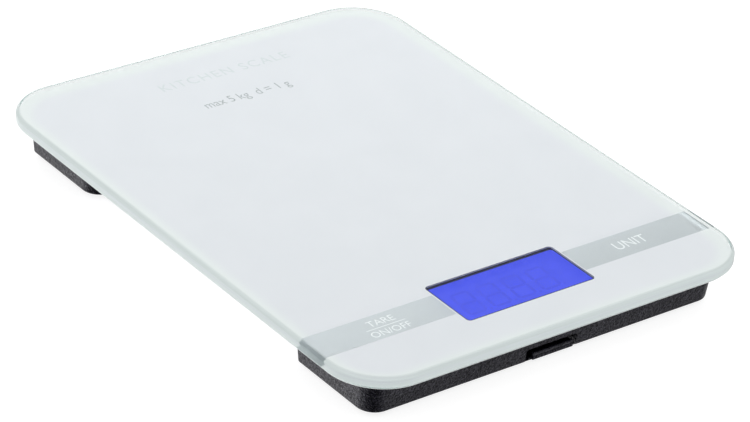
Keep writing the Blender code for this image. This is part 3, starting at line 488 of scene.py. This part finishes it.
FINISHES.update({
    "clear_glass": clear_glass(),
    "white_film": white_print(),
    "silver": silver_print(),
    "white_ink": ink("white_ink", (0.80, 0.82, 0.83), (0.86, 0.87, 0.88)),
    "pale_ink": ink("pale_ink", (0.60, 0.63, 0.65), (0.66, 0.69, 0.71)),
    "grey_ink": ink("grey_ink", (0.36, 0.38, 0.40), (0.44, 0.46, 0.48)),
    "border_ink": ink("border_ink", (0.018, 0.02, 0.026), (0.03, 0.033, 0.04)),
    "black_plastic": spark_plastic(),
    "display_glass": lit_screen("lcd_glow", *LCD_LOOK),
    "segment": lit_screen("lcd_segment", *SEGMENT_LOOK),
    "plated_steel": metal("plated_steel", (0.66, 0.67, 0.68), 0.22, 0.4, 700, (1, 6, 1)),
    "stainless_steel": metal("stainless_steel", (0.60, 0.60, 0.59), 0.16, 0.32, 900, (8, 1, 1)),
    "screw_steel": metal("screw_steel", (0.16, 0.16, 0.17), 0.28, 0.45, 1500),
    "circuit_board": circuit_mask(),
    "rubber": rubber(),
})


# ---------------------------------------------------------------- mesh helpers


def add_piece(name, mesh, finish, body, slot=None, replaces=()):
    """A new piece that rides on a body and, where it says so, stands for CAD nodes."""
    obj = bpy.data.objects.new(name, mesh)
    bpy.context.scene.collection.objects.link(obj)
    mesh.materials.clear()
    mesh.materials.append(FINISHES[finish])
    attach(obj, body)
    slot or finish
    if replaces:
        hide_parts(*replaces)
    return obj


def mesh_from(name, shape):
    """A smooth-shaded mesh, with its sharper edges kept crisp."""
    bmesh.ops.recalc_face_normals(shape, faces=shape.faces)
    mesh = bpy.data.meshes.new(name)
    shape.to_mesh(mesh)
    shape.free()
    mesh.shade_smooth()
    mesh.set_sharp_from_angle(angle=CREASE_ANGLE)
    return mesh


def moved_to(mesh, middle):
    """A mesh made about the Z axis, moved across to its place. Its heights stay as they are."""
    mesh.transform(Matrix.Translation((middle.x, middle.y, 0)))
    return mesh


def ring_solid(name, rings):
    """A closed solid through a stack of equal rings, with a flat face at each end."""
    shape = bmesh.new()
    rows = [[shape.verts.new(point) for point in ring] for ring in rings]
    for lower, upper in zip(rows, rows[1:]):
        for here in range(len(lower)):
            there = (here + 1) % len(lower)
            shape.faces.new((lower[here], lower[there], upper[there], upper[here]))
    shape.faces.new(reversed(rows[0]))
    shape.faces.new(rows[-1])
    return mesh_from(name, shape)


def rectangle(low, high):
    """The corners of a rectangle, anticlockwise."""
    return [low, (high[0], low[1]), high, (low[0], high[1])]


def rounded_outline(size, centre, radius, steps):
    """Points of a rectangle whose corners are arcs, anticlockwise."""
    half = Vector(size) / 2 - Vector((radius, radius))
    points = []
    for quadrant, (sx, sy) in enumerate(((1, 1), (-1, 1), (-1, -1), (1, -1))):
        middle = Vector(centre) + Vector((sx * half.x, sy * half.y))
        for step in range(steps + 1):
            angle = math.pi / 2 * (quadrant + step / steps)
            points.append(middle + radius * Vector((math.cos(angle), math.sin(angle))))
    return points


def glass_outline(inset):
    """The glass's outline, drawn in by inset."""
    size = (GLASS_SIZE.x - 2 * inset, GLASS_SIZE.y - 2 * inset)
    return rounded_outline(size, (0, 0), GLASS_CORNER - inset, steps=32)


def flat_mesh(name, curve, place):
    """A curve's or a text's mesh, moved to its place and welded into one closed skin."""
    guide = bpy.data.objects.new(name, curve)
    bpy.context.scene.collection.objects.link(guide)
    bpy.context.view_layer.update()
    graph = bpy.context.evaluated_depsgraph_get()
    mesh = bpy.data.meshes.new_from_object(guide.evaluated_get(graph))
    bpy.data.objects.remove(guide)
    shape = bmesh.new()
    shape.from_mesh(mesh)
    bmesh.ops.remove_doubles(shape, verts=shape.verts, dist=FINE_WELD)
    bmesh.ops.translate(shape, vec=place, verts=shape.verts)
    bpy.data.meshes.remove(mesh)
    return mesh_from(name, shape)


def sheet_solid(name, outlines, bottom, top):
    """A flat solid. An outline that lies inside another one is a hole in it."""
    curve = bpy.data.curves.new(name, "CURVE")
    curve.dimensions = "2D"
    curve.fill_mode = "BOTH"
    curve.extrude = (top - bottom) / 2
    for outline in outlines:
        spline = curve.splines.new("POLY")
        spline.points.add(len(outline) - 1)
        for point, spot in zip(spline.points, outline):
            point.co = (spot[0], spot[1], 0, 1)
        spline.use_cyclic_u = True
    return flat_mesh(name, curve, (0, 0, (bottom + top) / 2))


def turned(name, profile):
    """A turned solid about Z: the (radius, z) profile starts and ends on the axis."""
    shape = bmesh.new()
    corners = [shape.verts.new((radius, 0, z)) for radius, z in profile]
    edges = [shape.edges.new(pair) for pair in zip(corners, corners[1:])]
    bmesh.ops.spin(
        shape, geom=corners + edges, axis=(0, 0, 1), cent=(0, 0, 0),
        angle=2 * math.pi, steps=TURNED_STEPS, use_merge=True, use_duplicate=False,
    )
    bmesh.ops.remove_doubles(shape, verts=shape.verts, dist=WELD)
    return mesh_from(name, shape)


def rounded_profile(points, radius, steps=4):
    """The same profile with each inner corner turned into a small arc."""
    points = [Vector(point) for point in points]
    smooth = [points[0]]
    for before, corner, after in zip(points, points[1:], points[2:]):
        reach = min(radius, (before - corner).length / 2, (after - corner).length / 2)
        start = corner + (before - corner).normalized() * reach
        end = corner + (after - corner).normalized() * reach
        for step in range(steps + 1):
            t = step / steps
            smooth.append((1 - t) ** 2 * start + 2 * t * (1 - t) * corner + t**2 * end)
    return [*smooth, points[-1]]


def refined(name, finish, bevel=0.0, label=None, merge_flats=True):
    """A welded, smooth-shaded copy of a CAD node with its sharp edges eased, which stands for it.

    Merging turns flats that lie in one plane into one face. A bent wire's flats would fold over
    themselves, so they aren't merged.
    """
    source = frame["nodes"][name]
    shape = bmesh.new()
    shape.from_mesh(source.data)
    bmesh.ops.remove_doubles(shape, verts=shape.verts, dist=WELD)
    if merge_flats:
        bmesh.ops.dissolve_limit(
            shape, angle_limit=FLAT_ANGLE, verts=shape.verts, edges=shape.edges
        )
    mesh = mesh_from(label or name + "_piece", shape)
    obj = add_piece(mesh.name, mesh, finish, source["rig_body"], replaces=[name])
    if bevel:
        ease = obj.modifiers.new("eased_edges", "BEVEL")
        ease.width = bevel
        ease.segments = 2
        ease.limit_method = "ANGLE"
        ease.angle_limit = BEVEL_ANGLE
    even = obj.modifiers.new("even_shading", "WEIGHTED_NORMAL")
    even.keep_sharp = True


# ---------------------------------------------------------------- glass and print


def glass_plate():
    """The plate. Its edge is flat, with a chamfer above and below."""
    bottom, top = GLASS_LOW.z, GLASS_HIGH.z
    corners = [
        (FACE_RING, bottom),
        (CHAMFER, bottom),
        (0, bottom + CHAMFER),
        (0, top - CHAMFER),
        (CHAMFER, top),
        (FACE_RING, top),
    ]
    rings = [
        [(x, y, level) for x, y in glass_outline(inset)]
        for inset, level in rounded_profile(corners, CHAMFER_ROUND, steps=6)
    ]
    mesh = ring_solid("glass_plate", rings)
    add_piece("glass_plate", mesh, "clear_glass", "platform", replaces=["glass_platform"])


def window_outline(grow=0.0):
    """The display window's outline, or one that is larger all round by grow."""
    size = WINDOW_SIZE + 2 * Vector((grow, grow))
    return rounded_outline(size, WINDOW_CENTRE, WINDOW_CORNER + grow, steps=8)


def layer(number):
    """The top of a layer of ink, counted from the white one up, inside the glass's lower face."""
    return GLASS_LOW.z + PRINT_DEPTH + number * LAYER_STEP


def print_layers():
    """The white backing, the dark line round the window, and the silver band beside it."""
    outlines = [glass_outline(PRINT_INSET), window_outline()]
    film = sheet_solid("white_backing", outlines, GLASS_LOW.z - PRINT_REACH, layer(0))
    add_piece("white_backing", film, "white_film", "platform", replaces=["printed_film"])
    outlines = [window_outline(BORDER_WIDTH), window_outline()]
    border = sheet_solid("window_border", outlines, layer(0), layer(2))
    add_piece("window_border", border, "border_ink", "platform", "white_film")
    inner = WINDOW_SIZE.x / 2 + BAND_MARGIN
    outer = GLASS_SIZE.x / 2 - PRINT_INSET
    for side, start, end in (
        ("left", -outer, WINDOW_CENTRE.x - inner),
        ("right", WINDOW_CENTRE.x + inner, outer),
    ):
        outline = rectangle((start, BAND_FRONT), (end, BAND_REAR))
        band = sheet_solid("silver_band_" + side, [outline], layer(0), layer(1))
        add_piece("silver_band_" + side, band, "silver", "platform", "white_film")


def lettering(name, words, centre, size, finish, number, spacing):
    """Words printed on the back of the glass. Their centre and size are in millimetres."""
    text = bpy.data.curves.new(name, "FONT")
    text.body = words
    text.align_x = "CENTER"
    text.align_y = "CENTER"
    text.space_character = spacing
    text.resolution_u = 6
    text.extrude = LAYER_STEP / 2
    mesh = flat_mesh(name, text, (0, 0, 0))
    corners = [vertex.co for vertex in mesh.vertices]
    low = Vector((min(c.x for c in corners), min(c.y for c in corners)))
    high = Vector((max(c.x for c in corners), max(c.y for c in corners)))
    scale = Vector((size[0] * MM / (high.x - low.x), size[1] * MM / (high.y - low.y)))
    middle = (low + high) / 2
    base = layer(number) - LAYER_STEP / 2
    for corner in corners:
        corner.x = (corner.x - middle.x) * scale.x + centre[0] * MM
        corner.y = (corner.y - middle.y) * scale.y + centre[1] * MM
        corner.z = base + math.copysign(LAYER_STEP / 2, corner.z)
    add_piece(name, mesh, finish, "platform", "white_film")


def legends():
    for legend in LEGENDS:
        lettering(*legend)
    rule = sheet_solid("legend_rule", [rectangle(RULE_LOW, RULE_HIGH)], layer(1), layer(2))
    add_piece("legend_rule", rule, "white_ink", "platform", "white_film")


# ---------------------------------------------------------------- display


def bar_outline(length, upright):
    """A seven-segment bar: six corners, pointed at both ends."""
    half, tip = length / 2, BAR_WIDTH / 2
    corners = [
        (-half + tip, -tip), (half - tip, -tip), (half, 0),
        (half - tip, tip), (-half + tip, tip), (-half, 0),
    ]
    return [(-y, x) for x, y in corners] if upright else corners


def digit_outlines(centre):
    """The seven bars of one digit, leaning to the right."""
    across = DIGIT_WIDTH - BAR_WIDTH - 2 * BAR_GAP
    upright = DIGIT_HEIGHT / 2 - BAR_WIDTH / 2 - 2 * BAR_GAP
    half_width, half_height = (DIGIT_WIDTH - BAR_WIDTH) / 2, (DIGIT_HEIGHT - BAR_WIDTH) / 2
    bars = [(0, level * half_height, bar_outline(across, False)) for level in (-1, 0, 1)]
    for side in (-1, 1):
        for level in (-1, 1):
            outline = bar_outline(upright, True)
            bars.append((side * half_width, level * half_height / 2, outline))
    for x, y, outline in bars:
        spots = [(x + u, y + v) for u, v in outline]
        yield [(centre[0] + u + DIGIT_SLANT * v, centre[1] + v) for u, v in spots]


def display():
    """The lit panel, and the faint unlit digits and points on its face."""
    refined("lcd_panel", "display_glass", bevel=0.15 * MM, label="lcd_screen")
    middle = (LCD_LOW + LCD_HIGH) / 2
    foot = middle.y - DIGIT_HEIGHT / 2
    lean = DIGIT_SLANT * DIGIT_HEIGHT / 2
    outlines = []
    for number in range(DIGIT_COUNT):
        x = middle.x + (number - (DIGIT_COUNT - 1) / 2) * DIGIT_PITCH - DIGIT_SHIFT
        outlines += digit_outlines((x, middle.y))
        spot = (x + DIGIT_PITCH / 2 - lean, foot + DOT_RISE)
        outlines.append(rounded_outline((DOT_SIZE, DOT_SIZE), spot, DOT_CORNER, steps=4))
    face = LCD_HIGH.z
    mesh = sheet_solid("lcd_digits", outlines, face - DIGIT_RELIEF, face + DIGIT_RELIEF)
    mesh.shade_flat()
    add_piece("lcd_digits", mesh, "segment", "platform", "display_glass")


# ---------------------------------------------------------------- housings and what is in them


def housings():
    refined("front_housing", "black_plastic", label="front_housing_shell")
    refined("rear_housing", "black_plastic", label="rear_housing_shell")
    refined("battery_door", "black_plastic", label="battery_door_panel")
    for name in ("front_chassis", "rear_chassis"):
        refined(name, "chassis_plastic")
    for name in ("front_tape", "rear_tape"):
        refined(name, "foam_tape")
    refined("cable_channel", "channel_plastic", bevel=0.2 * MM)


def electronics():
    refined("circuit_board", "circuit_board", bevel=0.05 * MM)
    for name in ("microcontroller", "cell_amplifier"):
        refined(name, "chip_plastic", bevel=0.12 * MM)
    for name in ("crystal", "capacitor", "battery_contact_negative", "battery_contact_positive"):
        refined(name, "plated_steel", bevel=0.08 * MM)
    for name in ("backlight_guide", "backlight_led"):
        refined(name, "light_guide", bevel=0.1 * MM)
    refined("elastomer_connector", "elastomer", bevel=0.1 * MM)
    for side in ("left", "right"):
        refined("touch_spring_" + side, "stainless_steel")


def coin():
    """The coin cell: a can with a crimped rim, and a plus sign on the side that faces the door."""
    middle = (COIN_LOW + COIN_HIGH) / 2
    bottom, top = COIN_LOW.z, COIN_HIGH.z
    radius = (COIN_HIGH.x - COIN_LOW.x) / 2
    cap = radius - COIN_CAP_INSET
    profile = [
        (0, top),
        (cap, top),
        (cap, top - COIN_CRIMP),
        (radius - COIN_CRIMP, top - COIN_CRIMP),
        (radius, top - 2 * COIN_CRIMP),
        (radius, bottom),
        (0, bottom),
    ]
    can = moved_to(turned("coin_can", rounded_profile(profile, COIN_CRIMP)), middle)
    add_piece("coin_can", can, "stainless_steel", "platform", replaces=["coin_cell"])
    outline = []
    for turn in range(4):
        cos, sin = math.cos(turn * math.pi / 2), math.sin(turn * math.pi / 2)
        for x, y in (
            (PLUS_REACH, PLUS_HALF_WIDTH),
            (PLUS_HALF_WIDTH, PLUS_HALF_WIDTH),
            (PLUS_HALF_WIDTH, PLUS_REACH),
        ):
            outline.append((middle.x + x * cos - y * sin, middle.y + x * sin + y * cos))
    plus = sheet_solid("coin_plus", [outline], bottom - PLUS_RELIEF, bottom + PLUS_ROOT)
    add_piece("coin_plus", plus, "stainless_steel", "platform")


def foot_profile(low, high, pad_low, pad_high):
    """A foot: its nib under the load cell, its flange, and the recess that holds the pad."""
    flange = (high.x - low.x) / 2
    flange_top = high.z - FOOT_GAP
    flange_bottom = flange_top - FLANGE_THICKNESS
    recess = (pad_high.x - pad_low.x) / 2 + FOOT_GAP
    recess_top = pad_high.z + FOOT_GAP
    profile = [
        (0, high.z),
        (NIB_RADIUS, high.z),
        (NIB_BASE_RADIUS, flange_top),
        (flange, flange_top),
        (flange, flange_bottom),
        (FOOT_RADIUS, flange_bottom),
        (FOOT_RADIUS, low.z),
        (recess, low.z),
        (recess, recess_top),
        (0, recess_top),
    ]
    return rounded_profile(profile, FOOT_ROUND)


def pad_profile(low, high):
    """A rubber pad with rings moulded in its sole."""
    radius = (high.x - low.x) / 2
    profile = [(0, high.z), (radius, high.z), (radius, low.z + PAD_EDGE), (radius - PAD_EDGE, low.z)]
    for groove in PAD_GROOVES:
        floor = low.z + GROOVE_DEPTH
        profile += [(groove + GROOVE_HALF_MOUTH, low.z), (groove + GROOVE_HALF_FLOOR, floor)]
        profile += [(groove - GROOVE_HALF_FLOOR, floor), (groove - GROOVE_HALF_MOUTH, low.z)]
    profile.append((0, low.z))
    return rounded_profile(profile, PAD_ROUND)


def feet():
    for corner in CORNERS:
        foot, pad = "foot_" + corner, "foot_pad_" + corner
        low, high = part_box(foot)
        pad_low, pad_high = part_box(pad)
        for name, profile, middle, finish in (
            (foot, foot_profile(low, high, pad_low, pad_high), (low + high) / 2, "foot_plastic"),
            (pad, pad_profile(pad_low, pad_high), (pad_low + pad_high) / 2, "rubber"),
        ):
            mesh = moved_to(turned(name + "_piece", profile), middle)
            add_piece(mesh.name, mesh, finish, foot, replaces=[name])


def cells_and_screws():
    for corner in CORNERS:
        refined("load_cell_" + corner, "plated_steel", bevel=0.1 * MM)
        refined("strain_gauge_" + corner, "gauge_film")
        refined("cell_lead_" + corner, "lead_insulation", merge_flats=False)
    for row in ("front", "rear"):
        for number in range(1, 5):
            refined(f"{row}_screw_{number}", "screw_steel", bevel=0.06 * MM)


def door_marks():
    """Grip ribs and an arrow moulded on the door's outer face."""
    x = (DOOR_LOW.x + DOOR_HIGH.x) / 2
    start = DOOR_LOW.y + RIB_START
    marks = []
    for number in range(RIB_COUNT):
        spot = (x, start + number * RIB_PITCH)
        outline = rounded_outline(RIB_SIZE, spot, RIB_CORNER, steps=5)
        marks.append((f"door_rib_{number + 1}", outline))
    tip = start + RIB_COUNT * RIB_PITCH
    tail = tip + ARROW_LENGTH
    arrow = [(x, tip), (x + ARROW_HALF_WIDTH, tail), (x - ARROW_HALF_WIDTH, tail)]
    marks.append(("door_arrow", arrow))
    for name, outline in marks:
        mesh = sheet_solid(name, [outline], DOOR_LOW.z - MARK_HEIGHT, DOOR_LOW.z + MARK_ROOT)
        add_piece(name, mesh, "black_plastic", "battery_door")


# ---------------------------------------------------------------- studio


def studio_floor():
    shape = bmesh.new()
    bmesh.ops.create_grid(shape, x_segments=1, y_segments=1, size=FLOOR_SIZE / 2)
    mesh = mesh_from("floor", shape)
    mesh.materials.append(floor_white())
    floor = bpy.data.objects.new("floor", mesh)
    floor.location.z = cad_box[0][2] - FLOOR_DROP
    bpy.context.scene.collection.objects.link(floor)
    floor.visible_glossy = False


def studio_world():
    """Bright overhead and dim at the horizon. Below it stands for the light table's glow in
    glossy surfaces: brightest at the left, dimmer at the right, dark on the camera's side."""
    world = bpy.data.worlds.new("studio")
    world.use_nodes = True
    bpy.context.scene.world = world
    graph = Graph(world.node_tree)
    direction = graph.add("TexCoord").outputs["Generated"]
    level = graph.add("SeparateXYZ", {0: direction}).outputs[2]
    flat = graph.vector("NORMALIZE", graph.vector("MULTIPLY", direction, (1, 1, 0)))
    towards = (-math.sin(CAMERA_YAW), -math.cos(CAMERA_YAW), 0)
    rightward = (math.cos(CAMERA_YAW), -math.sin(CAMERA_YAW), 0)
    facing = graph.vector("DOT_PRODUCT", flat, towards, "Value")
    turned_right = graph.remap(graph.vector("DOT_PRODUCT", flat, rightward, "Value"), -0.4, 0.2)
    soft_side = graph.remap(facing, -0.15, 0.55, 1.25, 0.0, smooth=True)
    crisp_side = graph.remap(facing, 0.25, 0.5, 0.54, 0.0, smooth=True)
    below = graph.between(turned_right, soft_side, crisp_side)
    above = graph.remap(level, 0.58, 0.8, 0.22, 1.1, smooth=True)
    strength = graph.between(graph.remap(level, -0.12, 0.12, smooth=True), below, above)
    seen = graph.add("LightPath").outputs["Is Camera Ray"]
    background = world.node_tree.nodes["Background"]
    background.inputs["Color"].default_value = (1.0, 1.0, 1.0, 1)
    strength = graph.maths("MAXIMUM", strength, seen)
    graph.tree.links.new(strength, background.inputs["Strength"])


def studio_lights():
    """Soft lamps that light the scale but don't show in its reflections."""
    centre = Vector((0, 0, GLASS_HIGH.z))
    for name, place, size, power in LAMPS:
        lamp = bpy.data.lights.new(name, "AREA")
        lamp.shape = "RECTANGLE"
        lamp.size, lamp.size_y = size
        lamp.energy = power
        obj = bpy.data.objects.new(name, lamp)
        obj.location = place
        obj.rotation_euler = (centre - Vector(place)).to_track_quat("-Z", "Y").to_euler()
        obj.visible_glossy = False
        bpy.context.scene.collection.objects.link(obj)


def studio_camera():
    yaw, tilt, roll = CAMERA_YAW, CAMERA_TILT, CAMERA_ROLL
    forward = Vector(
        (math.sin(yaw) * math.cos(tilt), math.cos(yaw) * math.cos(tilt), -math.sin(tilt))
    )
    right = Vector((math.cos(yaw), -math.sin(yaw), 0))
    up = right.cross(forward)
    across = math.cos(roll) * right + math.sin(roll) * up
    upward = math.cos(roll) * up - math.sin(roll) * right
    camera = bpy.data.objects.new("camera", bpy.data.cameras.new("camera"))
    camera.data.lens = CAMERA_LENS
    camera.data.sensor_width = CAMERA_SENSOR
    camera.data.clip_start = CAMERA_NEAR
    camera.data.clip_end = CAMERA_FAR
    rotation = Matrix((across, upward, -forward)).transposed().to_4x4()
    camera.matrix_world = Matrix.Translation(CAMERA_PLACE) @ rotation
    bpy.context.scene.collection.objects.link(camera)
    bpy.context.scene.camera = camera


studio_camera()
glass_plate()
print_layers()
legends()
display()
housings()
electronics()
coin()
feet()
cells_and_screws()
door_marks()
studio_floor()
studio_world()
studio_lights()
bpy.context.scene.view_settings.view_transform = "Standard"
